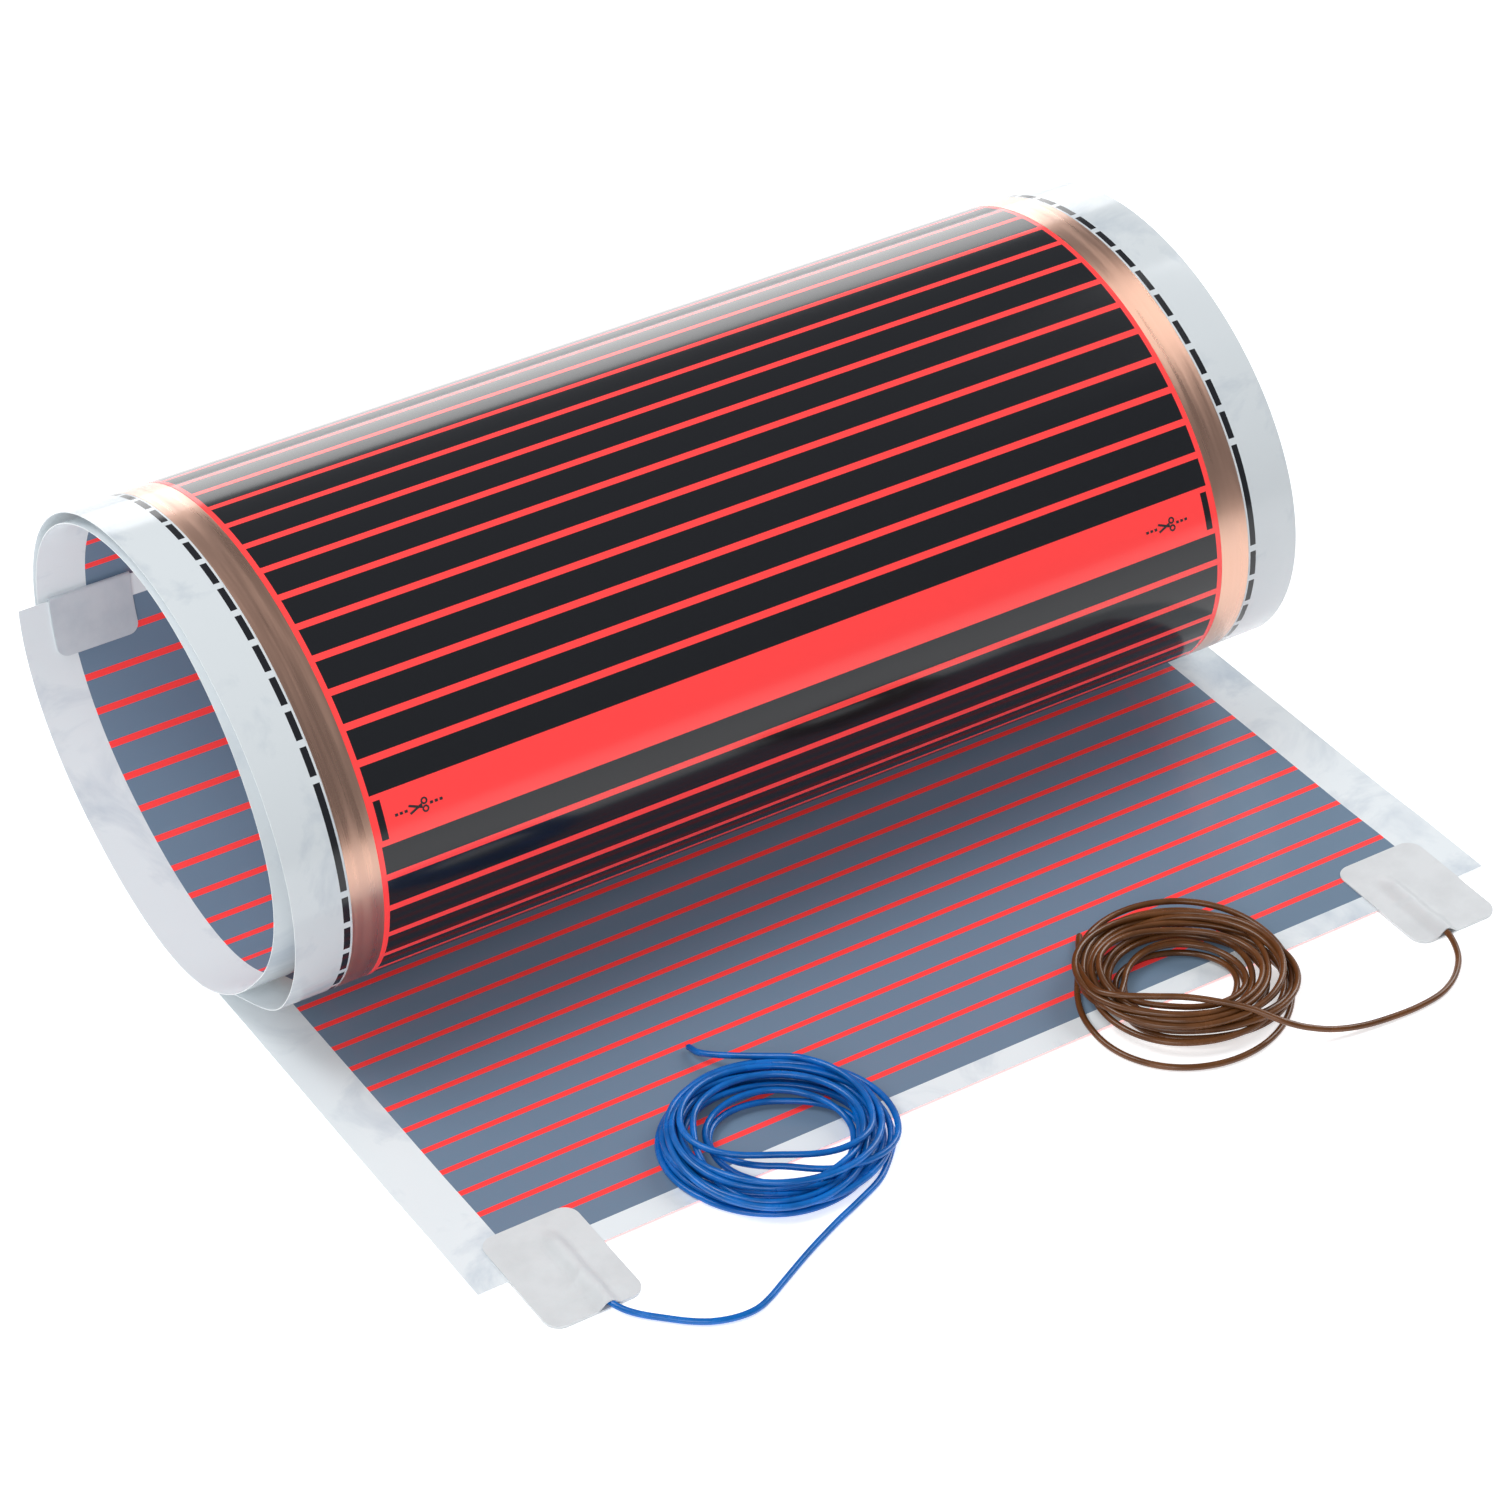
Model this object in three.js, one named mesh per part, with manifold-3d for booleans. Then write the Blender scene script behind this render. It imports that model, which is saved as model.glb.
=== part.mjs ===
// Electric underfloor heater: infrared heating film, partly rolled up, with two coiled lead wires.
// Millimetres, +Z up. X runs across the film, and Y runs along it, from the unrolled end to the roll.
// While modelling, Y = 0 is the film's front cut edge and Z = 0 is the floor. The last lines move the
// whole part, so that its origin is the centre of its base.
import * as THREE from 'three';
import * as BufferGeometryUtils from 'three/addons/utils/BufferGeometryUtils.js';
import Module from 'manifold-3d';

const wasm = await Module();
wasm.setup();

// Heating film: sections of one length, which can be cut apart at the plain band between them
const FILM_WIDTH = 500;
const FILM_THICKNESS = 0.34;
const SECTION_LENGTH = 250;
const SECTION_COUNT = 7;
const FILM_LENGTH = SECTION_LENGTH * SECTION_COUNT;

// Copper strips, let into the face of the film that turns outwards in the roll
const COPPER_WIDTH = 14.5;
const COPPER_THICKNESS = 0.1;
const COPPER_EDGE_MARGIN = 26;
const COPPER_SIDE_CLEARANCE = 0.3;
const COPPER_CENTRE_X = FILM_WIDTH / 2 - COPPER_EDGE_MARGIN - COPPER_WIDTH / 2;

// Roll: the outer turn is a leaning ellipse, and each turn inside it lies back by the slack,
// given as [turns from the floor line, millimetres inside the outer turn]
const ROLL_CENTRE_Y = 258.8;
const ROLL_HALF_DEPTH = 118;
const ROLL_HALF_HEIGHT = 98.7;
const ROLL_LEAN = 14;
const ROLL_STEPS_PER_TURN = 36;
const ROLL_SLACK = [
  [0, 0], [0.125, 2], [0.25, 0.3], [0.5, 0], [0.86, 0.5], [0.93, 5], [1, 1.3], [1.12, 4], [1.27, 3.2],
  [1.5, 5.8], [1.7, 11], [1.86, 14.5], [2, 3.2], [2.12, 7], [2.27, 5.4], [2.5, 8], [2.7, 16], [2.86, 19],
  [3, 9], [3.3, 12],
];
const MEASURING_STEPS_PER_TURN = 1440;

// The inner turns stick out of the roll's left end
const TELESCOPE_START = 1250;
const TELESCOPE_REACH = 10;

// Insulating pads at the ends of the copper strips
const PAD_THICKNESS = 0.8;
const PAD_WIDTH = 43;
const PAD_LENGTH = 60;
const PAD_CORNER_RADIUS = 7;
const PAD_INSET = 2.25;
const PAD_CENTRE_X = COPPER_CENTRE_X - PAD_INSET;
const PAD_RIDGE_HALF_WIDTH = 6;
const PAD_RIDGE_STEPS = 8;
const END_PAD_WIDTH = 38.5;
const END_PAD_LEAF = 28;
const END_PAD_CORNER_RADIUS = 5;
const END_PAD_CLEARANCE = 0.3;
const CORNER_STEPS = 4;

// The film rises over the lower pads, and comes down to the floor behind them
const RAISED_LENGTH = 34;
const DESCENT_LENGTH = 40;
const DESCENT_STEPS = 5;

// Lead wires: each lead runs from its pad to a coil, and the tail comes out of the coil.
// Their routes are points chosen by hand.
const WIRE_DIAMETER = 2.8;
const WIRE_SECTION_SIDES = 8;
const WIRE_STEP_DIAMETERS = 2.5;
const WIRE_CLEARANCE = 0.3;
const COIL_CLEARANCE = 0.3;
const COIL_CORNER = 4;
const COIL_SECTORS = 32;

const BLUE = {
  name: 'blue',
  side: -1,
  padOverlap: 26,
  ridgeInset: 4.5,
  colour: 0x1565b8,
  lead: [
    [-210, -1.5, 2.5], [-210, -12, 2.5], [-210, -23, 2.5], [-209.5, -32, 2.5], [-207, -38.5, 2],
    [-202.5, -44.5, 1.6], [-196, -51, 1.45], [-188.5, -58, 1.45], [-181, -63, 1.45], [-172, -66, 1.45],
    [-163, -66.3, 1.45], [-155, -63.5, 1.45], [-146, -58.8, 1.45], [-131, -51, 1.5], [-118, -44.8, 1.6],
    [-107.8, -40.3, 2],
  ],
  tail: [[-97.3, 55.8, 12.5], [-98.8, 60, 10.8], [-101.2, 70.6, 6], [-103.4, 82, 2.4]],
  coil: { x: -106.7, y: 8.7, inner: 25, outer: 47, height: 18 },
};
const BROWN = {
  name: 'brown',
  side: 1,
  padOverlap: 31,
  ridgeInset: 7,
  colour: 0x6f4322,
  lead: [
    [207.5, -1.5, 2.5], [207.5, -12, 2.5], [207.5, -21, 2.5], [207.2, -29, 2.5], [204.8, -37.5, 2],
    [200, -45.8, 1.6], [191, -54, 1.45], [180, -59.2, 1.45], [166.5, -60.9, 1.45], [153, -60.4, 1.6],
    [139, -59, 2.4], [126, -56.3, 4.4], [115.2, -52.8, 7.8], [106.2, -47.6, 11.8],
  ],
  tail: [[66.3, 42.8, 4.7], [70, 48.2, 3.8], [74.2, 53.4, 3]],
  coil: { x: 91.6, y: -0.1, inner: 22, outer: 48, height: 20 },
};

const finishes = {
  film: new THREE.MeshStandardMaterial({ color: 0x3c4450, roughness: 0.25 }),
  copper: new THREE.MeshStandardMaterial({ color: 0xb87a5c, roughness: 0.3, metalness: 1 }),
  pad: new THREE.MeshStandardMaterial({ color: 0xe4e8ea, roughness: 0.45 }),
};

function ease(fraction) {
  const t = Math.min(Math.max(fraction, 0), 1);
  return t * t * (3 - 2 * t);
}

// How far a turn of the roll lies inside the outer turn
function slackAt(turns) {
  let next = 1;
  while (next < ROLL_SLACK.length - 1 && ROLL_SLACK[next][0] <= turns) {
    next += 1;
  }
  const [turnsBefore, slackBefore] = ROLL_SLACK[next - 1];
  const [turnsAfter, slackAfter] = ROLL_SLACK[next];
  const share = ease((turns - turnsBefore) / (turnsAfter - turnsBefore));
  return slackBefore + (slackAfter - slackBefore) * share;
}

// A point of the film's outer face in the roll, as (Y, Z)
function rollPoint(turns) {
  const angle = turns * 2 * Math.PI;
  const outer = new THREE.Vector2(
    ROLL_CENTRE_Y + ROLL_HALF_DEPTH * Math.sin(angle) - ROLL_LEAN * Math.cos(angle),
    ROLL_HALF_HEIGHT * (1 - Math.cos(angle)),
  );
  const along = new THREE.Vector2(
    ROLL_HALF_DEPTH * Math.cos(angle) + ROLL_LEAN * Math.sin(angle),
    ROLL_HALF_HEIGHT * Math.sin(angle),
  ).normalize();
  const inward = new THREE.Vector2(-along.y, along.x);
  return outer.addScaledVector(inward, slackAt(turns));
}

// Height of the film's lower face where it lies unrolled
function floorHeight(distance) {
  return PAD_THICKNESS * (1 - ease((distance - RAISED_LENGTH) / DESCENT_LENGTH));
}

// Sideways place of the film at a distance along it: the inner turns lie further left
function telescopeAt(distance) {
  return -TELESCOPE_REACH * ease((distance - TELESCOPE_START) / (FILM_LENGTH - TELESCOPE_START));
}

// Stations along the film, each with its distance s, its point on the outer face and the direction
// through the film, from the front cut edge to the free end inside the roll
function makeStations() {
  const stations = [];
  const addStation = (s, point) => stations.push({ s, point, x: telescopeAt(s) });
  addStation(0, new THREE.Vector2(0, floorHeight(0)));
  for (let i = 0; i <= DESCENT_STEPS; i += 1) {
    const s = RAISED_LENGTH + (DESCENT_LENGTH * i) / DESCENT_STEPS;
    addStation(s, new THREE.Vector2(s, floorHeight(s)));
  }
  const stride = MEASURING_STEPS_PER_TURN / ROLL_STEPS_PER_TURN;
  let previous = rollPoint(0);
  let s = previous.x;
  addStation(s, previous);
  for (let step = 1; s < FILM_LENGTH; step += 1) {
    const point = rollPoint(step / MEASURING_STEPS_PER_TURN);
    s += point.distanceTo(previous);
    previous = point;
    if (s >= FILM_LENGTH) {
      addStation(FILM_LENGTH, point);
    } else if (step % stride === 0) {
      addStation(s, point);
    }
  }
  stations.forEach((station, i) => {
    const before = stations[Math.max(i - 1, 0)].point;
    const after = stations[Math.min(i + 1, stations.length - 1)].point;
    const along = after.clone().sub(before).normalize();
    station.through = new THREE.Vector2(-along.y, along.x);
  });
  stations[0].through.set(0, 1);
  stations[1].through.set(0, 1);
  return stations;
}

const stations = makeStations();

// Carries a profile, drawn as X against height above the outer face, along the whole film.
// The stations are taken from last to first, which keeps the faces pointing out.
function alongFilm(corners) {
  const shape = new THREE.Shape(corners.map(([x, h]) => new THREE.Vector2(x, h)));
  const steps = stations.length - 1;
  const geometry = new THREE.ExtrudeGeometry(shape, { depth: steps, steps, bevelEnabled: false });
  const position = geometry.attributes.position;
  for (let i = 0; i < position.count; i += 1) {
    const station = stations[steps - Math.round(position.getZ(i))];
    const h = position.getY(i);
    position.setXYZ(
      i,
      position.getX(i) + station.x,
      station.point.x + station.through.x * h,
      station.point.y + station.through.y * h,
    );
  }
  return geometry;
}

// A point at a distance s along the film and a height h above its outer face, as X shift, Y and Z
function filmPoint(s, h) {
  let next = 1;
  while (next < stations.length - 1 && stations[next].s < s) {
    next += 1;
  }
  const a = stations[next - 1];
  const b = stations[next];
  const share = (s - a.s) / (b.s - a.s);
  const point = a.point.clone().lerp(b.point, share);
  const through = a.through.clone().lerp(b.through, share).normalize();
  return [a.x + (b.x - a.x) * share, point.x + through.x * h, point.y + through.y * h];
}

function filmGeometry() {
  const half = FILM_WIDTH / 2;
  const channelOuter = COPPER_CENTRE_X + COPPER_WIDTH / 2 + COPPER_SIDE_CLEARANCE;
  const channelInner = COPPER_CENTRE_X - COPPER_WIDTH / 2 - COPPER_SIDE_CLEARANCE;
  const depth = COPPER_THICKNESS;
  return alongFilm([
    [-half, 0], [-channelOuter, 0], [-channelOuter, depth], [-channelInner, depth], [-channelInner, 0],
    [channelInner, 0], [channelInner, depth], [channelOuter, depth], [channelOuter, 0], [half, 0],
    [half, FILM_THICKNESS], [-half, FILM_THICKNESS],
  ]);
}

function copperGeometry(side) {
  const low = side * COPPER_CENTRE_X - COPPER_WIDTH / 2;
  const high = low + COPPER_WIDTH;
  return alongFilm([[low, 0], [high, 0], [high, COPPER_THICKNESS], [low, COPPER_THICKNESS]]);
}

// Rounded rectangle of a front pad, centred on X = 0 and running from its front edge to its overlap
function padOutline(overlap) {
  const half = PAD_WIDTH / 2;
  const r = PAD_CORNER_RADIUS;
  const front = overlap - PAD_LENGTH;
  const shape = new THREE.Shape();
  shape.absarc(half - r, front + r, r, -Math.PI / 2, 0);
  shape.absarc(half - r, overlap - r, r, 0, Math.PI / 2);
  shape.absarc(r - half, overlap - r, r, Math.PI / 2, Math.PI);
  shape.absarc(r - half, front + r, r, Math.PI, 1.5 * Math.PI);
  return shape;
}

function padPrism(overlap, height) {
  return new THREE.ExtrudeGeometry(padOutline(overlap), {
    depth: height, steps: 1, bevelEnabled: false, curveSegments: CORNER_STEPS,
  });
}

// Section of an upper pad, as X against Z: flat on the film, with a round ridge over the wire
function ridgedSection(ridgeX) {
  const half = PAD_WIDTH / 2 + 1;
  const rise = WIRE_DIAMETER + 2 * WIRE_CLEARANCE - FILM_THICKNESS;
  const under = [[-half, 0]];
  for (let i = 0; i <= PAD_RIDGE_STEPS; i += 1) {
    const across = (2 * i) / PAD_RIDGE_STEPS - 1;
    const lift = rise * (0.5 + 0.5 * Math.cos(across * Math.PI));
    under.push([ridgeX + across * PAD_RIDGE_HALF_WIDTH, lift]);
  }
  under.push([half, 0]);
  const over = under.map(([x, z]) => [x, z + PAD_THICKNESS]).reverse();
  return new THREE.Shape([...under, ...over].map(([x, z]) => new THREE.Vector2(x, z)));
}

function toSolid(geometry) {
  const bare = geometry.clone();
  bare.deleteAttribute('normal');
  bare.deleteAttribute('uv');
  const merged = BufferGeometryUtils.mergeVertices(bare);
  return new wasm.Manifold(new wasm.Mesh({
    numProp: 3,
    vertProperties: merged.attributes.position.array,
    triVerts: new Uint32Array(merged.index.array),
  }));
}

function fromSolid(solid) {
  const mesh = solid.getMesh();
  const geometry = new THREE.BufferGeometry();
  geometry.setAttribute('position', new THREE.BufferAttribute(mesh.vertProperties, 3));
  geometry.setIndex(new THREE.BufferAttribute(mesh.triVerts, 1));
  return geometry;
}

// The upper pad is the ridged section carried along the pad and cut to the pad's outline
function upperPadGeometry(wire) {
  const ridgeX = -wire.side * wire.ridgeInset;
  const spare = 1;
  const length = PAD_LENGTH + 2 * spare;
  const sheet = new THREE.ExtrudeGeometry(ridgedSection(ridgeX), { depth: length, steps: 1, bevelEnabled: false });
  sheet.rotateX(Math.PI / 2);
  sheet.translate(0, wire.padOverlap + spare, 0);
  const tall = padPrism(wire.padOverlap, 3 * WIRE_DIAMETER);
  tall.translate(0, 0, -WIRE_DIAMETER);
  return fromSolid(toSolid(sheet).intersect(toSolid(tall)));
}

// The pad at the film's free end is a strip folded round that end. It is a flat bar with one step
// for each place along the fold, where its two faces are given in the film's own s and h.
function endPadGeometry(side) {
  const start = FILM_LENGTH - END_PAD_LEAF;
  const r = END_PAD_CORNER_RADIUS;
  const leaf = [];
  for (let i = 0; i <= CORNER_STEPS; i += 1) {
    leaf.push(start + r * (1 - Math.cos((i / CORNER_STEPS) * (Math.PI / 2))));
  }
  stations.filter(({ s }) => s > start + r).forEach(({ s }) => leaf.push(s));
  const below = -END_PAD_CLEARANCE;
  const above = FILM_THICKNESS + END_PAD_CLEARANCE;
  const foldInner = FILM_LENGTH + END_PAD_CLEARANCE;
  const foldOuter = foldInner + PAD_THICKNESS;
  const places = [
    ...leaf.map((s) => [[s, below], [s, below - PAD_THICKNESS]]),
    [[foldInner, below], [foldOuter, below - PAD_THICKNESS / 2]],
    [[foldInner, above], [foldOuter, above + PAD_THICKNESS / 2]],
    ...leaf.map((s) => [[s, above], [s, above + PAD_THICKNESS]]).reverse(),
  ];
  const halfWidthAt = (s) => {
    const inset = Math.max(r - (s - start), 0);
    return END_PAD_WIDTH / 2 - r + Math.sqrt(Math.max(r * r - inset * inset, 0));
  };
  const steps = places.length - 1;
  const geometry = new THREE.BoxGeometry(2, 1, steps, 1, 1, steps);
  geometry.translate(0, 0.5, steps / 2);
  const position = geometry.attributes.position;
  for (let i = 0; i < position.count; i += 1) {
    const [s, h] = places[Math.round(position.getZ(i))][Math.round(position.getY(i))];
    const [x, y, z] = filmPoint(s, h);
    position.setXYZ(i, side * COPPER_CENTRE_X + position.getX(i) * halfWidthAt(s) + x, y, z);
  }
  return geometry;
}

function wireGeometry(points) {
  const path = new THREE.CatmullRomCurve3(points.map((point) => new THREE.Vector3(...point)));
  const section = new THREE.Shape();
  section.absarc(0, 0, WIRE_DIAMETER / 2, 0, 2 * Math.PI);
  const steps = Math.ceil(path.getLength() / (WIRE_STEP_DIAMETERS * WIRE_DIAMETER));
  return new THREE.ExtrudeGeometry(section, {
    steps, curveSegments: WIRE_SECTION_SIDES / 2, bevelEnabled: false, extrudePath: path,
  });
}

// Outer shape of a coil: a ring with cut corners, which lies on the film
function coilGeometry({ inner, outer, height }) {
  const c = COIL_CORNER;
  const profile = [
    [inner, c], [inner + c, 0], [outer - c, 0], [outer, c],
    [outer, height - c], [outer - c, height], [inner + c, height], [inner, height - c], [inner, c],
  ];
  const geometry = new THREE.LatheGeometry(profile.map(([r, z]) => new THREE.Vector2(r, z)), COIL_SECTORS);
  geometry.rotateX(Math.PI / 2);
  return geometry;
}

const fixed = new THREE.Group();
const wires = new THREE.Group();

function addMesh(parent, name, geometry, material, x = 0, y = 0, z = 0) {
  const mesh = new THREE.Mesh(geometry, material);
  mesh.name = name;
  mesh.position.set(x, y, z);
  parent.add(mesh);
}

addMesh(fixed, 'heating_film', filmGeometry(), finishes.film);

const filmTop = PAD_THICKNESS + FILM_THICKNESS;
for (const wire of [BLUE, BROWN]) {
  const { side, coil } = wire;
  const hand = side < 0 ? 'left' : 'right';
  const padX = side * PAD_CENTRE_X;
  const insulation = new THREE.MeshStandardMaterial({ color: wire.colour, roughness: 0.4 });
  addMesh(fixed, `copper_strip_${hand}`, copperGeometry(side), finishes.copper);
  addMesh(fixed, `front_pad_lower_${hand}`, padPrism(wire.padOverlap, PAD_THICKNESS), finishes.pad, padX);
  addMesh(fixed, `front_pad_upper_${hand}`, upperPadGeometry(wire), finishes.pad, padX, 0, filmTop);
  addMesh(fixed, `end_pad_${hand}`, endPadGeometry(side), finishes.pad);
  addMesh(wires, `${wire.name}_lead`, wireGeometry(wire.lead), insulation);
  addMesh(wires, `${wire.name}_tail`, wireGeometry(wire.tail), insulation);
  addMesh(wires, `${wire.name}_coil`, coilGeometry(coil), insulation, coil.x, coil.y, filmTop + COIL_CLEARANCE);
}

// The origin is the centre of the base of the film and its pads
const base = new THREE.Box3().setFromObject(fixed);
const group = new THREE.Group();
group.add(fixed, wires);
group.position.set(-(base.min.x + base.max.x) / 2, -(base.min.y + base.max.y) / 2, 0);

export default group;
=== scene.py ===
import math

import bpy
import numpy as np
from mathutils import Matrix, Vector


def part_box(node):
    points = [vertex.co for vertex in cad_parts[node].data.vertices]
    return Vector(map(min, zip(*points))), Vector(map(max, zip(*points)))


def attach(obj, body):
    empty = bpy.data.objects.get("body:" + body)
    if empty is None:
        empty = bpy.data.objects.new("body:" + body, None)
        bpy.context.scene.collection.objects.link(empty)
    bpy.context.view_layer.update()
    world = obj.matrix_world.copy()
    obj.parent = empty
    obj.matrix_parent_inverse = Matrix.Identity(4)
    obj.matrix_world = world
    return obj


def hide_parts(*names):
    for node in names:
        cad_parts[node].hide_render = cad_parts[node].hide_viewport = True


bl_info = {
    "name": "Underfloor heating film",
    "version": (1, 0, 0),
    "blender": (4, 5, 0),
    "location": "View3D > Sidebar > Heating film",
    "description": "Dresses a heating film, its copper strips, pads and lead wires, and lights them",
    "category": "Object",
}

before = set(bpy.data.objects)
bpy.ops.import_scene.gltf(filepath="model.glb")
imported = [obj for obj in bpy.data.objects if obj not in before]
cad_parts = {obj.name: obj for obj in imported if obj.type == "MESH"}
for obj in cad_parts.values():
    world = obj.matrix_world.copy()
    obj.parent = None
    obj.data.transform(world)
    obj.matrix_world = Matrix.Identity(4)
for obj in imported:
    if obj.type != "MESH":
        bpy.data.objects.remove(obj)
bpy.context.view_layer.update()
BODY = "root"
MM = 0.001

# Film, as the solids have it
FILM_WIDTH = 500 * MM
FILM_THICKNESS = 0.34 * MM
SECTION_LENGTH = 250 * MM
FILM_LENGTH = 7 * SECTION_LENGTH
COPPER_WIDTH = 14.5 * MM
COPPER_THICKNESS = 0.1 * MM
COPPER_SIDE_CLEARANCE = 0.3 * MM
COPPER_CENTRE_X = 216.75 * MM
FILM_LOW, FILM_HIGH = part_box("heating_film")
FRAME_SHIFT = np.array([FILM_HIGH.x - FILM_WIDTH / 2, FILM_LOW.y, 0.0])

# Roll: a leaning ellipse, with each turn inside it lying back by the slack
ROLL_CENTRE_Y = 258.8 * MM
ROLL_HALF_DEPTH = 118 * MM
ROLL_HALF_HEIGHT = 98.7 * MM
ROLL_LEAN = 14 * MM
ROLL_SLACK = [
    (0, 0), (0.125, 2), (0.25, 0.3), (0.5, 0), (0.86, 0.5), (0.93, 5), (1, 1.3), (1.12, 4), (1.27, 3.2),
    (1.5, 5.8), (1.7, 11), (1.86, 14.5), (2, 3.2), (2.12, 7), (2.27, 5.4), (2.5, 8), (2.7, 16), (2.86, 19),
    (3, 9), (3.3, 12),
]
TURNS_MEASURED = 2.4
STEPS_PER_TURN = 1440
FLAT_ROW_STEP = 4 * MM
ROLL_ROWS = 560
MIDDLE_COLUMNS = 25
CHANNEL_WALL = 0.05 * MM
COPPER_FILL = 0.95
TELESCOPE_START = 1250 * MM
TELESCOPE_REACH = 10 * MM
PRINT_AHEAD = 9.2 * MM
PRINT_AHEAD_FROM = 260 * MM
PRINT_AHEAD_TO = 500 * MM
PRINT_BACK_FROM = 1300 * MM

# Pads
PAD_THICKNESS = 0.8 * MM
PAD_WIDTH = 43 * MM
PAD_LENGTH = 60 * MM
PAD_CORNER_RADIUS = 7 * MM
PAD_CENTRE_X = COPPER_CENTRE_X - 2.25 * MM
PAD_ROWS = 40
PAD_COLUMNS = 41
PAD_CORNER_STEPS = 9
TAPE_THICKNESS = 0.55 * MM
TAPE_CLEARANCE = 0.02 * MM
RIDGE_HALF_WIDTH = 6 * MM
RIDGE_CLEARANCE = 0.6 * MM
RIDGE_FADE_FROM = 6 * MM
RIDGE_FADE_LENGTH = 14 * MM
CUT_EDGE_STEP_LENGTH = 5 * MM
CREASE_WIDTH = 1.6 * MM
END_PAD_WIDTH = 38.5 * MM
END_PAD_LEAF = 28 * MM
END_PAD_CORNER_RADIUS = 5 * MM
END_PAD_CLEARANCE = 0.3 * MM
END_PAD_ROWS = 14
END_PAD_COLUMNS = 13
END_PAD_FOLD_STEPS = 9
RAISED_LENGTH = 34 * MM
DESCENT_LENGTH = 40 * MM
FILM_TOP = PAD_THICKNESS + FILM_THICKNESS

# Wires
WIRE_DIAMETER = 2.8 * MM
WIRE_RING_SIDES = 12
WIRE_STEP = 2.2 * MM
CONDUCTOR_RADIUS = 0.85 * MM
CONDUCTOR_BURIED = 2
CONDUCTOR_BARE = 1.2

# Coils, in millimetres. How far out a turn lies is a share of the way from the inner to the outer ellipse.
COIL_POINTS_PER_TURN = 48
COIL_OUT_RANGE = (0.05, 0.95)
COIL_OUT_WANDER = 0.28
COIL_HEIGHT_WANDER = 3
SETTLE_STEP = 3.0
SETTLE_ROUNDS = 220
SETTLE_SEARCH_EVERY = 8
SETTLE_SEARCH_DIAMETERS = 2.5
SETTLE_SKIPPED_DIAMETERS = 3
SETTLE_PUSH = 0.4
SETTLE_LONGEST_PUSH = 0.8
SETTLE_SINK = 0.008
SETTLE_SMOOTHING = 0.5
SETTLE_FLOOR_GAP = 0.05
SETTLE_TAIL_HELD = 3

# Each wire's points are X, Y and Z in millimetres from the middle of the film's front edge. The join leads
# on from the solids' lead to the coil's first turn. The overlap is how far the pads reach over the film, and
# the inset is how far inward of the pad's middle the wire comes out. A crease is two places on the pad and
# its height. Loose turns are given by quarter turn, with how far out and how high they lie.
BLUE = {
    "name": "blue",
    "side": -1,
    "pad_overlap": 26,
    "ridge_inset": 4.5,
    "creases": [(5.0, -12.2, -5.7, -17.5, 0.7), (4.1, -30.6, 6.5, -21.3, 0.5), (-12, -20, 14, -26, 0.35)],
    "colour": (0.0, 0.138, 0.5),
    "lead": [
        (-210, -1.5, 2.5), (-210, -12, 2.5), (-210, -23, 2.5), (-209.5, -32, 2.5), (-207, -38.5, 2),
        (-202.5, -44.5, 1.6), (-196, -51, 1.45), (-188.5, -58, 1.45), (-181, -63, 1.45), (-172, -66, 1.45),
        (-163, -66.3, 1.45), (-155, -63.5, 1.45), (-146, -58.8, 1.45), (-131, -51, 1.5), (-118, -44.8, 1.6),
        (-107.8, -40.3, 2),
    ],
    "join": [(-96, -35.6, 2), (-82.5, -29.6, 2.2), (-73.6, -22.6, 2.6)],
    "tail": [(-101.2, 70.6, 6), (-103.4, 82, 2.4)],
    "centre": (-106.7, 8.7),
    "shift": (0, 4),
    "start_angle": 0,
    "end_angle": 80,
    "turns": 14,
    "across": (28, 47.5),
    "deep": (22, 43),
    "heights": (3, 15),
    "loose": {
        0: (1, 3), 1: (1, 3.5), 2: (1, 2.5), 3: (0.97, 1.6), 50: (0.3, 15), 51: (0.95, 8), 52: (0.95, 9),
        53: (0.7, 13), 54: (0.55, 16), 55: (0, 16), 56: (0.56, 15), 57: (0.85, 14),
    },
    "seed": 4,
}
BROWN = {
    "name": "brown",
    "side": 1,
    "pad_overlap": 31,
    "ridge_inset": 7,
    "creases": [(-12.8, -0.6, 4.7, -9.5, 0.5), (-5.4, -26.8, -2.3, -18.2, 0.6)],
    "colour": (0.14, 0.05, 0.013),
    "lead": [
        (207.5, -1.5, 2.5), (207.5, -12, 2.5), (207.5, -21, 2.5), (207.2, -29, 2.5), (204.8, -37.5, 2),
        (200, -45.8, 1.6), (191, -54, 1.45), (180, -59.2, 1.45), (166.5, -60.9, 1.45), (153, -60.4, 1.6),
        (139, -59, 2.4), (126, -56.3, 4.4), (115.2, -52.8, 7.8), (106.2, -47.6, 11.8),
    ],
    "join": [
        (97.5, -37, 15), (87.5, -27.5, 17), (77.1, -18.5, 18), (64.5, -10.1, 18), (53.5, -1.9, 17.5),
        (49, 8.5, 16),
    ],
    "tail": [(66.3, 42.8, 4.7), (70, 48.2, 3.8), (74.2, 53.4, 3)],
    "centre": (91.6, -0.1),
    "shift": (-3, 1),
    "start_angle": 175,
    "end_angle": -180,
    "turns": 13,
    "across": (25, 46),
    "deep": (20, 41),
    "heights": (16.5, 3.5),
    "loose": {
        0: (0.85, 14.5), 1: (1.3, 13.5), 2: (1.05, 10), 3: (0.6, 13), 53: (0.7, 3), 54: (1.05, 3),
        55: (1.45, 1.6), 56: (0.85, 2.5),
    },
    "seed": 9,
}

# Camera: what it looks at, and from where
VIEW_TARGET = Vector((34.863, 75.454, 0)) * MM
VIEW_AZIMUTH = -31.439
VIEW_ELEVATION = 36.297
VIEW_ROLL = -1.028
VIEW_DISTANCE = 2134 * MM
SENSOR_WIDTH = 36
FOCAL_PIXELS = 4738
FRAME_PIXELS = 1500


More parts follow.
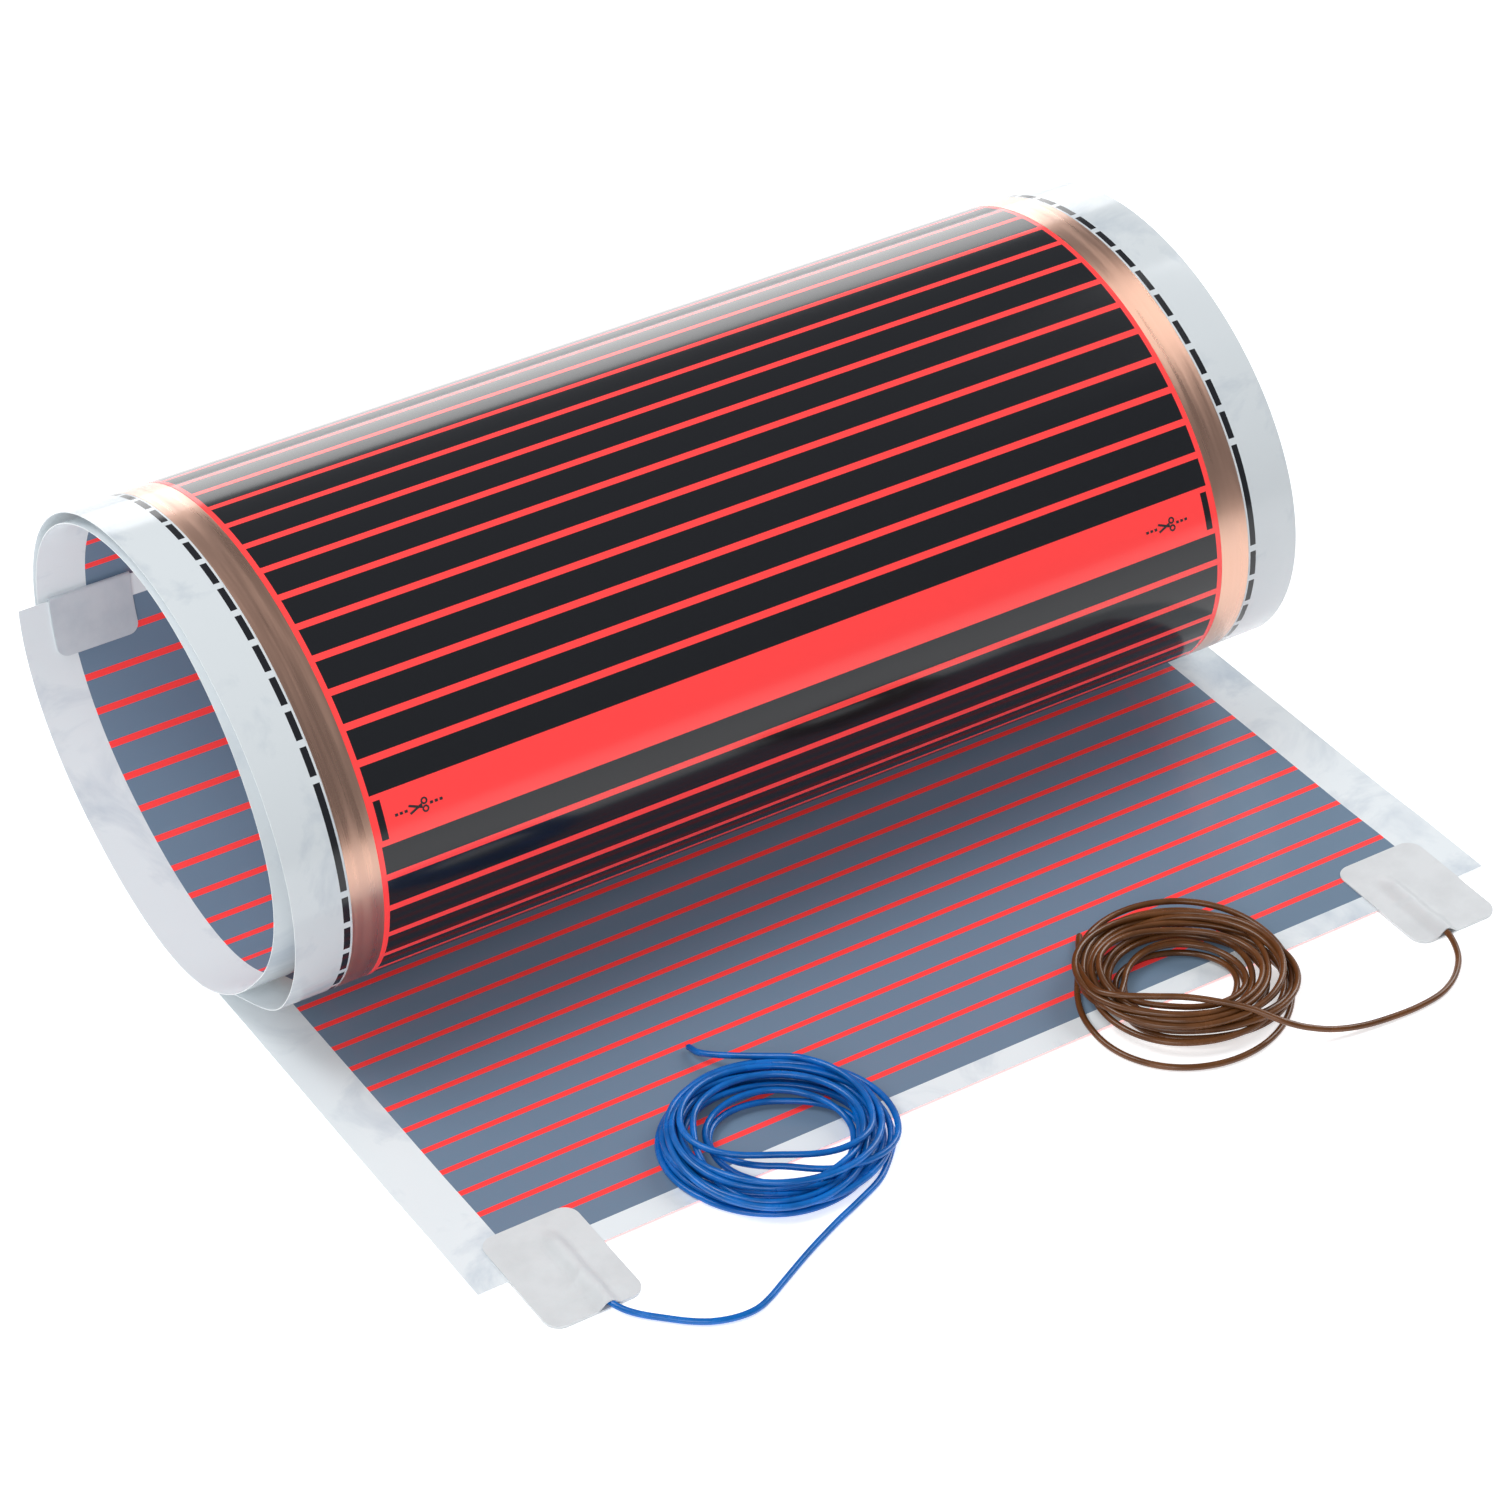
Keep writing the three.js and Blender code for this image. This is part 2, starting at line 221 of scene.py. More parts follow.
def ease(fraction):
    """Smooth step from 0 to 1, flat at both ends: three times the square less twice the cube."""
    t = np.clip(fraction, 0, 1)
    return t * t * (3 - 2 * t)


def slack_at(turns):
    """How far a turn of the roll lies inside the outer turn: smooth steps between the known places."""
    known_turns, known_slack = np.array(ROLL_SLACK).T
    after = np.clip(np.searchsorted(known_turns, turns, side="right"), 1, len(known_turns) - 1)
    before = after - 1
    share = ease((turns - known_turns[before]) / (known_turns[after] - known_turns[before]))
    return (known_slack[before] + (known_slack[after] - known_slack[before]) * share) * MM


def floor_height(distance):
    """Height of the film's lower face where it lies unrolled: raised over the pads, then on the floor."""
    return PAD_THICKNESS * (1 - ease((distance - RAISED_LENGTH) / DESCENT_LENGTH))


def film_path():
    """The film's outer face seen along X, as rows of distance, Y, Z and the direction through the film.

    The unrolled stretch follows floor_height. In the roll a point is the ellipse's point moved inward,
    square to the ellipse, by the slack.
    """
    turns = np.linspace(0, TURNS_MEASURED, int(TURNS_MEASURED * STEPS_PER_TURN) + 1)
    angle = 2 * math.pi * turns
    along_y = ROLL_HALF_DEPTH * np.cos(angle) + ROLL_LEAN * np.sin(angle)
    along_z = ROLL_HALF_HEIGHT * np.sin(angle)
    length = np.hypot(along_y, along_z)
    slack = slack_at(turns)
    roll_y = ROLL_CENTRE_Y + ROLL_HALF_DEPTH * np.sin(angle) - ROLL_LEAN * np.cos(angle)
    roll_y -= slack * along_z / length
    roll_z = ROLL_HALF_HEIGHT * (1 - np.cos(angle)) + slack * along_y / length
    flat_y = np.arange(0, roll_y[0] - MM, MM)
    y = np.concatenate([flat_y, roll_y])
    z = np.concatenate([floor_height(flat_y), roll_z])
    distance = np.concatenate([[0], np.cumsum(np.hypot(np.diff(y), np.diff(z)))])
    slope_y, slope_z = np.gradient(y, distance), np.gradient(z, distance)
    length = np.hypot(slope_y, slope_z)
    return np.array([distance, y, z, -slope_z / length, slope_y / length])


FILM_PATH = film_path()


def print_place(distance):
    """Where on the print a distance lies.

    The print runs ahead of the path on the roll's outer turn, as the photograph shows, and comes back to
    it inside the roll. Both changes are smooth steps.
    """
    gone = ease((distance - PRINT_AHEAD_FROM) / (PRINT_AHEAD_TO - PRINT_AHEAD_FROM))
    back = ease((distance - PRINT_BACK_FROM) / (FILM_LENGTH - END_PAD_LEAF - PRINT_BACK_FROM))
    return distance + PRINT_AHEAD * (gone - back)


def film_point(x, distance, height):
    """The place of a point X across the film, at a distance along it and a height above its outer face.

    It is the path's point plus the height along the direction through the film, and X plus the shift of
    the inner turns.
    """
    x, distance, height = np.broadcast_arrays(x, distance, height)
    y, z, through_y, through_z = (np.interp(distance, FILM_PATH[0], row) for row in FILM_PATH[1:])
    shift = -TELESCOPE_REACH * ease((distance - TELESCOPE_START) / (FILM_LENGTH - TELESCOPE_START))
    point = np.stack([x + shift, y + through_y * height, z + through_z * height], axis=-1)
    return point + FRAME_SHIFT


def grid_faces(rows, columns, closed_columns=False):
    """Quads of a grid of points counted row by row: each joins a point, its neighbours and the opposite."""
    row, column = np.meshgrid(np.arange(rows - 1), np.arange(columns - (not closed_columns)), indexing="ij")
    right = (column + 1) % columns
    corners = [row * columns + column, row * columns + right, (row + 1) * columns + right,
               (row + 1) * columns + column]
    return np.stack(corners, axis=-1).reshape(-1, 4)


def make_piece(name, points, faces, materials, replaced=(), uv=None, face_material=None, sharp=None):
    """A mesh object at the origin from arrays of points and faces, riding on the part's one body."""
    mesh = bpy.data.meshes.new(name)
    mesh.from_pydata(points.reshape(-1, 3).tolist(), [], [list(map(int, face)) for face in faces])
    mesh.polygons.foreach_set("use_smooth", np.ones(len(mesh.polygons), bool))
    for material in materials:
        mesh.materials.append(material)
    if face_material is not None:
        mesh.polygons.foreach_set("material_index", np.asarray(face_material, np.int32))
    if uv is not None:
        corner_point = np.empty(len(mesh.loops), np.int32)
        mesh.loops.foreach_get("vertex_index", corner_point)
        layer = mesh.uv_layers.new(name="place")
        layer.data.foreach_set("uv", uv.reshape(-1, 2)[corner_point].astype(np.float32).ravel())
    if sharp is not None:
        mesh.set_sharp_from_angle(angle=math.radians(sharp))
    mesh.validate()
    mesh.update()
    piece = bpy.data.objects.new(name, mesh)
    bpy.context.scene.collection.objects.link(piece)
    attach(piece, BODY)
    if replaced:
        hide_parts(*replaced)
    return piece


# Shader building

def join(tree, value, socket):
    """Links a socket, or sets a number or colour on it."""
    if isinstance(value, bpy.types.NodeSocket):
        tree.links.new(value, socket)
    elif value is not None:
        socket.default_value = value


def calculate(tree, operation, *values):
    """One Math node on up to three sockets or numbers."""
    node = tree.nodes.new("ShaderNodeMath")
    node.operation = operation
    for socket, value in zip(node.inputs, values):
        join(tree, value, socket)
    return node.outputs[0]


def blend_colours(tree, share, first, second, way="MIX"):
    """One Mix node on two colours."""
    node = tree.nodes.new("ShaderNodeMix")
    node.data_type = "RGBA"
    node.blend_type = way
    join(tree, share, node.inputs[0])
    join(tree, first, node.inputs[6])
    join(tree, second, node.inputs[7])
    return node.outputs[2]


def spread_value(tree, value, low, high, new_low, new_high):
    """One Map Range node, clamped."""
    node = tree.nodes.new("ShaderNodeMapRange")
    for socket, number in zip(node.inputs, (value, low, high, new_low, new_high)):
        join(tree, number, socket)
    return node.outputs[0]


def add_noise(tree, place, scale, detail=2.0, roughness=0.5, distortion=0.0):
    """One Noise Texture node. Its value is near a half."""
    node = tree.nodes.new("ShaderNodeTexNoise")
    join(tree, place, node.inputs["Vector"])
    for name, number in (("Scale", scale), ("Detail", detail), ("Roughness", roughness),
                         ("Distortion", distortion)):
        node.inputs[name].default_value = number
    return node.outputs["Fac"]


def stretch(tree, place, scale):
    """One Mapping node that scales a place."""
    node = tree.nodes.new("ShaderNodeMapping")
    join(tree, place, node.inputs["Vector"])
    node.inputs["Scale"].default_value = scale
    return node.outputs[0]


def add_bump(tree, height, strength, distance):
    """One Bump node."""
    node = tree.nodes.new("ShaderNodeBump")
    node.inputs["Strength"].default_value = strength
    node.inputs["Distance"].default_value = distance
    join(tree, height, node.inputs["Height"])
    return node.outputs[0]


def place_of(tree, kind):
    """A Texture Coordinate output: Object or UV."""
    return tree.nodes.new("ShaderNodeTexCoord").outputs[kind]


def new_material(name, **values):
    """A material with its Principled shader's own sockets set."""
    material = bpy.data.materials.new(name)
    material.use_nodes = True
    shader = material.node_tree.nodes["Principled BSDF"]
    for socket, value in values.items():
        shader.inputs[socket.replace("_", " ")].default_value = value
    return material, material.node_tree, shader


def new_group(name, inputs, outputs):
    """An empty shader group with float or vector inputs and float outputs."""
    group = bpy.data.node_groups.new(name, "ShaderNodeTree")
    for socket, kind, default in inputs:
        made = group.interface.new_socket(socket, in_out="INPUT", socket_type=kind)
        if default is not None:
            made.default_value = default
    for socket, kind in outputs:
        group.interface.new_socket(socket, in_out="OUTPUT", socket_type=kind)
    return group, group.nodes.new("NodeGroupInput").outputs, group.nodes.new("NodeGroupOutput").inputs


def use_group(tree, group, **values):
    """Places a group and sets or links its inputs."""
    node = tree.nodes.new("ShaderNodeGroup")
    node.node_tree = group
    for socket, value in values.items():
        join(tree, value, node.inputs[socket.replace("_", " ")])
    return node.outputs


# Print of the film
CELL_LENGTH = 12.4 * MM
LINE_LENGTH = 3.0 * MM
BAND_LENGTH = 22 * MM
INNER_PRINT_HALF = 227 * MM
DASH_OUTER = 228 * MM
DASH_INNER = 225 * MM
BORDER_OUTER = 209.5 * MM
BORDER_INNER = 207 * MM
BAR_OUTER = 206.2 * MM
BAR_INNER = 203 * MM
BAR_HALF_LENGTH = 8.5 * MM
RED = (1.0, 0.058, 0.058)
MARK_CENTRES = (-187.5 * MM, 183 * MM)
MARK_DOT_STARTS = (-10.2, 5.8)
MARK_DOT_PITCH = 2.2
MARK_DOT_HALF_LENGTH = 0.7
MARK_DOT_HALF_WIDTH = 0.6
MARK_BLADE = ((-4.5, 1.3), (-4, 2.2), (1.8, -0.2), (1.3, -1.1))
MARK_RING_CENTRE = (2.8, 1.7)
MARK_RING_INNER = 0.8
MARK_RING_OUTER = 1.6
MARK_RING_PARTS = 10
MARK_LIFT = 0.06 * MM


def section_print_group():
    """Masks of the printed section, from a place given as X across and distance along.

    The distance is taken from the last cut band. It is band near both ends of a section, and between
    them cells and lines alternate.
    """
    group, given, out = new_group(
        "section_print",
        [("Place", "NodeSocketVector", None)],
        [("Across", "NodeSocketFloat"), ("From Cut", "NodeSocketFloat"), ("Line", "NodeSocketFloat"),
         ("Cell", "NodeSocketFloat")],
    )
    split = group.nodes.new("ShaderNodeSeparateXYZ")
    group.links.new(given["Place"], split.inputs[0])
    across = calculate(group, "ABSOLUTE", split.outputs[0])
    within = calculate(group, "WRAP", split.outputs[1], SECTION_LENGTH, 0.0)
    from_cut = calculate(group, "MINIMUM", within, calculate(group, "SUBTRACT", SECTION_LENGTH, within))
    band = calculate(group, "LESS_THAN", from_cut, BAND_LENGTH / 2)
    after_band = calculate(group, "SUBTRACT", within, BAND_LENGTH / 2)
    step = calculate(group, "WRAP", after_band, CELL_LENGTH + LINE_LENGTH, 0.0)
    beyond_cell = calculate(group, "GREATER_THAN", step, CELL_LENGTH)
    line = calculate(group, "MULTIPLY", beyond_cell, calculate(group, "SUBTRACT", 1.0, band))
    cell = calculate(group, "SUBTRACT", calculate(group, "SUBTRACT", 1.0, band), line)
    for name, value in (("Across", across), ("From Cut", from_cut), ("Line", line), ("Cell", cell)):
        group.links.new(value, out[name])
    return group


def between(tree, value, low, high):
    """1 where a value lies between two numbers, else 0."""
    above = calculate(tree, "GREATER_THAN", value, low)
    return calculate(tree, "MULTIPLY", above, calculate(tree, "LESS_THAN", value, high))


def laminate_group():
    """Cloudy laminate: faint bluish smudges in the clear margin, and fine ripples in its surface."""
    group, given, out = new_group(
        "laminate",
        [("Place", "NodeSocketVector", None)],
        [("Smudge", "NodeSocketFloat"), ("Ripple", "NodeSocketFloat")],
    )
    cloud = add_noise(group, given["Place"], 22, detail=5, roughness=0.62, distortion=0.6)
    group.links.new(spread_value(group, cloud, 0.52, 0.74, 0.0, 1.0), out["Smudge"])
    group.links.new(add_noise(group, given["Place"], 9, detail=2), out["Ripple"])
    return group


EDGE_COLOURS = ((0.74, 0.78, 0.8, 1), (0.9, 0.93, 0.94, 1))
COPPER_DARK = (0.56, 0.30, 0.21, 1)
COPPER_LIGHT = (0.82, 0.53, 0.41, 1)
END_TAPE_COLOURS = ((0.66, 0.71, 0.75, 1), (0.56, 0.62, 0.67, 1))
TAPE_WHITE = (0.73, 0.755, 0.77)
INK_WORN = (0.03, 0.026, 0.028, 1)
LAMINATE_RIPPLE = 0.6 * MM
MARGIN_WHITE = (0.70, 0.745, 0.77, 1)
MARGIN_SMUDGE = (0.50, 0.56, 0.62, 1)
CELL_BLACK = (0.0105, 0.0115, 0.0145, 1)
CELL_SLATE = (0.14, 0.205, 0.285)
DASH_BLACK = (0.012, 0.013, 0.017, 1)


def film_materials(print_group, laminate, settings):
    """The film's outer face, inner face and cut edge.

    The red lines of the outer face and the whole inner face glow a little, so that they look as even as in
    the photograph where little light falls. The outer face's front band lies on the floor and doesn't glow.
    """
    red = (*settings.line_colour, 1)
    outer, tree, shader = new_material("film_outer_face", Roughness=0.13, IOR=1.5, Emission_Strength=0.22)
    marks = use_group(tree, print_group, Place=place_of(tree, "UV"))
    cloud = use_group(tree, laminate, Place=place_of(tree, "Object"))
    margin = blend_colours(tree, cloud["Smudge"], MARGIN_WHITE, MARGIN_SMUDGE)
    dash = calculate(tree, "MULTIPLY", between(tree, marks["Across"], DASH_INNER, DASH_OUTER),
                     calculate(tree, "SUBTRACT", 1.0, marks["Line"]))
    colour = blend_colours(tree, dash, margin, DASH_BLACK)
    printed = calculate(tree, "LESS_THAN", marks["Across"], BORDER_OUTER)
    colour = blend_colours(tree, printed, colour, red)
    dark = calculate(tree, "MULTIPLY", marks["Cell"],
                     calculate(tree, "LESS_THAN", marks["Across"], BORDER_INNER))
    bar = calculate(tree, "MULTIPLY", between(tree, marks["Across"], BAR_INNER, BAR_OUTER),
                    calculate(tree, "LESS_THAN", marks["From Cut"], BAR_HALF_LENGTH))
    dark = calculate(tree, "MAXIMUM", dark, bar)
    colour = blend_colours(tree, dark, colour, CELL_BLACK)
    split = tree.nodes.new("ShaderNodeSeparateXYZ")
    tree.links.new(place_of(tree, "UV"), split.inputs[0])
    past_front = calculate(tree, "GREATER_THAN", split.outputs[1], BAND_LENGTH / 2)
    glow = calculate(tree, "MULTIPLY", calculate(tree, "SUBTRACT", printed, dark), past_front)
    tree.links.new(blend_colours(tree, glow, (0, 0, 0, 1), red), shader.inputs["Emission Color"])
    tree.links.new(colour, shader.inputs["Base Color"])
    tree.links.new(add_bump(tree, cloud["Ripple"], 0.12, LAMINATE_RIPPLE), shader.inputs["Normal"])

    inner, tree, shader = new_material("film_inner_face", Roughness=0.24, IOR=1.48, Emission_Strength=0.2)
    marks = use_group(tree, print_group, Place=place_of(tree, "UV"))
    cloud = use_group(tree, laminate, Place=place_of(tree, "Object"))
    margin = blend_colours(tree, cloud["Smudge"], MARGIN_WHITE, MARGIN_SMUDGE)
    inside = calculate(tree, "LESS_THAN", marks["Across"], INNER_PRINT_HALF)
    colour = blend_colours(tree, calculate(tree, "MULTIPLY", marks["Cell"], inside), margin,
                           (*settings.inner_cell_colour, 1))
    line = calculate(tree, "MULTIPLY", marks["Line"], inside)
    colour = blend_colours(tree, line, colour, red)
    tree.links.new(colour, shader.inputs["Emission Color"])
    tree.links.new(colour, shader.inputs["Base Color"])
    tree.links.new(add_bump(tree, cloud["Ripple"], 0.12, LAMINATE_RIPPLE), shader.inputs["Normal"])

    edge, tree, shader = new_material("film_cut_edge", Roughness=0.35, IOR=1.45)
    grain = add_noise(tree, place_of(tree, "Object"), 400, detail=1)
    tree.links.new(blend_colours(tree, grain, *EDGE_COLOURS), shader.inputs["Base Color"])
    return outer, inner, edge


def ink_material():
    """Black printing ink, a little uneven."""
    material, tree, shader = new_material("mark_ink", Roughness=0.3)
    grain = add_noise(tree, place_of(tree, "Object"), 300)
    tree.links.new(blend_colours(tree, grain, DASH_BLACK, INK_WORN), shader.inputs["Base Color"])
    return material


def copper_material():
    """Rolled copper strip under clear laminate, with streaks along the strip."""
    material, tree, shader = new_material(
        "copper_foil", Metallic=1.0, Roughness=0.26, Coat_Weight=0.6, Coat_Roughness=0.12)
    place = stretch(tree, place_of(tree, "UV"), (260, 9, 1))
    streak = add_noise(tree, place, 1.0, detail=4, roughness=0.6)
    cloud = add_noise(tree, place_of(tree, "UV"), 18, detail=3)
    share = calculate(tree, "ADD", calculate(tree, "MULTIPLY", streak, 0.55),
                      calculate(tree, "MULTIPLY", cloud, 0.45))
    tree.links.new(blend_colours(tree, share, COPPER_DARK, COPPER_LIGHT), shader.inputs["Base Color"])
    tree.links.new(spread_value(tree, streak, 0.3, 0.7, 0.22, 0.42), shader.inputs["Roughness"])
    return material


def pad_material(name, colour, shade):
    """White insulating tape with a soft surface and faint cloudy shade."""
    material, tree, shader = new_material(name, Roughness=0.5, IOR=1.45)
    place = place_of(tree, "Object")
    cloud = add_noise(tree, place, 60, detail=4, roughness=0.6)
    fine = add_noise(tree, place, 1400, detail=2)
    tree.links.new(blend_colours(tree, spread_value(tree, cloud, 0.4, 0.75, 0.0, 1.0), colour, shade),
                   shader.inputs["Base Color"])
    relief = calculate(tree, "ADD", calculate(tree, "MULTIPLY", cloud, 3.0), fine)
    tree.links.new(add_bump(tree, relief, 0.25, 0.12 * MM), shader.inputs["Normal"])
    return material


def insulation_material(name, colour):
    """Soft plastic insulation of a wire, a little uneven along it."""
    material, tree, shader = new_material(name, Roughness=0.24, IOR=1.5)
    place = place_of(tree, "Object")
    cloud = add_noise(tree, place, 90, detail=3)
    light = tuple(min(1.0, 1.2 * part) for part in colour) + (1,)
    dark = tuple(0.85 * part for part in colour) + (1,)
    tree.links.new(blend_colours(tree, spread_value(tree, cloud, 0.35, 0.65, 0.0, 1.0), dark, light),
                   shader.inputs["Base Color"])
    tree.links.new(spread_value(tree, cloud, 0.3, 0.7, 0.2, 0.3), shader.inputs["Roughness"])
    return material


# Film and copper meshes

def film_rows():
    """Distances along the film: close together in the roll, further apart where it lies flat."""
    flat_end = FILM_PATH[0][np.argmax(FILM_PATH[1] >= ROLL_CENTRE_Y - ROLL_LEAN)]
    flat = np.arange(0, flat_end, FLAT_ROW_STEP)
    return np.concatenate([flat, np.linspace(flat_end, FILM_LENGTH, ROLL_ROWS)])


def film_columns():
    """X and outer height of the film's columns from left to right, with the channels for the copper."""
    inner = COPPER_CENTRE_X - COPPER_WIDTH / 2 - COPPER_SIDE_CLEARANCE
    outer = COPPER_CENTRE_X + COPPER_WIDTH / 2 + COPPER_SIDE_CLEARANCE
    half = FILM_WIDTH / 2
    right = [(inner, 0), (inner + CHANNEL_WALL, COPPER_THICKNESS), (outer - CHANNEL_WALL, COPPER_THICKNESS),
             (outer, 0), ((outer + half) / 2, 0), (half, 0)]
    middle = [(x, 0) for x in np.linspace(-inner, inner, MIDDLE_COLUMNS)[1:-1]]
    left = [(-x, height) for x, height in reversed(right)]
    return np.array(left + middle + right)


def make_film(materials):
    """The whole film: outer and inner faces as two grids joined along the sides and at both ends.

    Each ring round the film runs along the outer face from left to right, and back along the inner.
    """
    distance = film_rows()
    columns = film_columns()
    count = len(columns)
    x = np.concatenate([columns[:, 0], columns[::-1, 0]])
    height = np.concatenate([columns[:, 1], np.full(count, FILM_THICKNESS)])
    points = film_point(x[None, :], distance[:, None], height[None, :])
    uv = np.stack(np.broadcast_arrays(x[None, :], print_place(distance)[:, None]), axis=-1)
    faces = grid_faces(len(distance), 2 * count, closed_columns=True)
    kind = np.tile(np.repeat([0, 2, 1, 2], [count - 1, 1, count - 1, 1]), len(distance) - 1)
    column = np.arange(count - 1)
    start = np.stack([column, 2 * count - 1 - column, 2 * count - 2 - column, column + 1], axis=-1)
    end = start[:, ::-1] + (len(distance) - 1) * 2 * count
    faces = np.concatenate([faces, start, end])
    kind = np.concatenate([kind, np.full(2 * (count - 1), 2)])
    return make_piece("heating_film_sheet", points, faces, materials, ["heating_film"],
                      uv=uv, face_material=kind, sharp=40)


def mark_polygons():
    """A cut mark seen flat, in millimetres: a row of dots, scissors with two blades and two ring handles,
    and a row of dots. The blades point to the negative side."""
    long, wide = MARK_DOT_HALF_LENGTH, MARK_DOT_HALF_WIDTH
    polygons = []
    for start in MARK_DOT_STARTS:
        for i in range(3):
            x = start + MARK_DOT_PITCH * i
            polygons.append([(x - long, -wide), (x + long, -wide), (x + long, wide), (x - long, wide)])
    for side in (-1, 1):
        polygons.append([(x, side * y) for x, y in MARK_BLADE])
        for i in range(MARK_RING_PARTS):
            one, other = (2 * math.pi * part / MARK_RING_PARTS for part in (i, i + 1))
            corners = ((MARK_RING_INNER, one), (MARK_RING_OUTER, one), (MARK_RING_OUTER, other),
                       (MARK_RING_INNER, other))
            polygons.append([(MARK_RING_CENTRE[0] + radius * math.cos(angle),
                              side * MARK_RING_CENTRE[1] + radius * math.sin(angle))
                             for radius, angle in corners])
    return polygons


def make_cut_marks(material):
    """The cut marks near both ends of every cut band, lying on the film's outer face."""
    points, faces = [], []
    for band in range(1, round(FILM_LENGTH / SECTION_LENGTH)):
        at = np.interp(band * SECTION_LENGTH, print_place(FILM_PATH[0]), FILM_PATH[0])
        for centre in MARK_CENTRES:
            for polygon in mark_polygons():
                faces.append(range(len(points), len(points) + len(polygon)))
                points.extend((centre + x * MM, at + y * MM) for x, y in polygon)
    points = np.array(points)
    placed = film_point(points[:, 0], points[:, 1], -MARK_LIFT)
    return make_piece("cut_marks", placed, faces, [material])


def closed_strip(name, points, materials, replaced, uv=None, sharp=50):
    """A strip from a grid of rings: the rings' sides are joined, and both ends get a face."""
    rows, ring = points.shape[:2]
    faces = [tuple(face) for face in grid_faces(rows, ring, closed_columns=True)]
    faces.append(tuple(range(ring))[::-1])
    faces.append(tuple((rows - 1) * ring + i for i in range(ring)))
    return make_piece(name, points, faces, materials, replaced, uv=uv, sharp=sharp)


def make_copper(side, material):
    """A copper strip in its channel: a thin rectangle carried along the film."""
    distance = film_rows()
    low, high = side * COPPER_CENTRE_X - COPPER_WIDTH / 2, side * COPPER_CENTRE_X + COPPER_WIDTH / 2
    x = np.array([low, high, high, low])
    height = np.array([0, 0, COPPER_THICKNESS, COPPER_THICKNESS]) * COPPER_FILL
    points = film_point(x[None, :], distance[:, None], height[None, :])
    uv = np.stack(np.broadcast_arrays(x[None, :], print_place(distance)[:, None]), axis=-1)
    hand = "left" if side < 0 else "right"
    return closed_strip(f"copper_foil_{hand}", points, [material], [f"copper_strip_{hand}"], uv)


# Pads

def pad_rows(low, high, radius):
    """Places along a pad: close together round the corners, even between them."""
    corner = radius * (1 - np.cos(np.linspace(0, math.pi / 2, PAD_CORNER_STEPS)))
    middle = np.linspace(low + radius, high - radius, PAD_ROWS)[1:-1]
    return np.concatenate([low + corner, middle, (high - corner)[::-1]])


def pad_half_width(along, low, high, radius):
    """Half the width of a rounded rectangle at a place along it."""
    inset = np.maximum(radius - (along - low), 0) + np.maximum(radius - (high - along), 0)
    return PAD_WIDTH / 2 - radius + np.sqrt(np.maximum(radius ** 2 - inset ** 2, 0))


def slab_points(x, y, under, over):
    """Rings round a thin slab: along the lower face from left to right, and back along the upper face."""
    lower = np.stack([x, y, under], axis=-1)
    upper = np.stack([x, y, over], axis=-1)
    return np.concatenate([lower, upper[:, ::-1]], axis=1)


def pad_grid(wire):
    """X from the pad's middle and Y of a front pad's grid of points."""
    high = wire["pad_overlap"] * MM
    low = high - PAD_LENGTH
    y = pad_rows(low, high, PAD_CORNER_RADIUS)
    half = pad_half_width(y, low, high, PAD_CORNER_RADIUS)
    across = np.linspace(-1, 1, PAD_COLUMNS)
    return half[:, None] * across[None, :], np.broadcast_to(y[:, None], (len(y), len(across)))


def crease_height(x, y, crease):
    """A soft crease from one place to another: it falls off as a bell curve of the distance to their line."""
    start, end = np.array(crease[:2]) * MM, np.array(crease[2:4]) * MM
    ahead = end - start
    share = np.clip(((x - start[0]) * ahead[0] + (y - start[1]) * ahead[1]) / (ahead @ ahead), 0, 1)
    away = np.hypot(x - start[0] - share * ahead[0], y - start[1] - share * ahead[1])
    return crease[4] * MM * np.exp(-(away / CREASE_WIDTH) ** 2)


def make_front_pads(wire, material):
    """Two layers of tape pressed together over the film's corner, with the wire coming out between them.

    The upper layer's height is the film's top behind the cut edge and the lower layer's top in front of
    it, with a round ridge over the wire and soft creases added.
    """
    hand = "left" if wire["side"] < 0 else "right"
    x, y = pad_grid(wire)
    centre = np.array([wire["side"] * PAD_CENTRE_X, 0, 0]) + FRAME_SHIFT
    lower = slab_points(x, y, np.zeros_like(x), np.full_like(x, PAD_THICKNESS)) + centre
    closed_strip(f"front_tape_lower_{hand}", lower, [material], [f"front_pad_lower_{hand}"])

    ridge_x = -wire["side"] * wire["ridge_inset"] * MM
    rise = WIRE_DIAMETER + RIDGE_CLEARANCE - FILM_THICKNESS
    off = np.clip((x - ridge_x) / RIDGE_HALF_WIDTH, -1, 1)
    ridge = rise * (0.5 + 0.5 * np.cos(math.pi * off))
    on_wire = 1 - ease((y - RIDGE_FADE_FROM) / RIDGE_FADE_LENGTH)
    past_edge = 1 - ease((y + CUT_EDGE_STEP_LENGTH) / CUT_EDGE_STEP_LENGTH)
    under = FILM_TOP - FILM_THICKNESS * past_edge + ridge * on_wire
    under += TAPE_CLEARANCE
    for crease in wire["creases"]:
        under += crease_height(x, y, crease)
    upper = slab_points(x, y, under, under + TAPE_THICKNESS) + centre
    closed_strip(f"front_tape_upper_{hand}", upper, [material], [f"front_pad_upper_{hand}"])


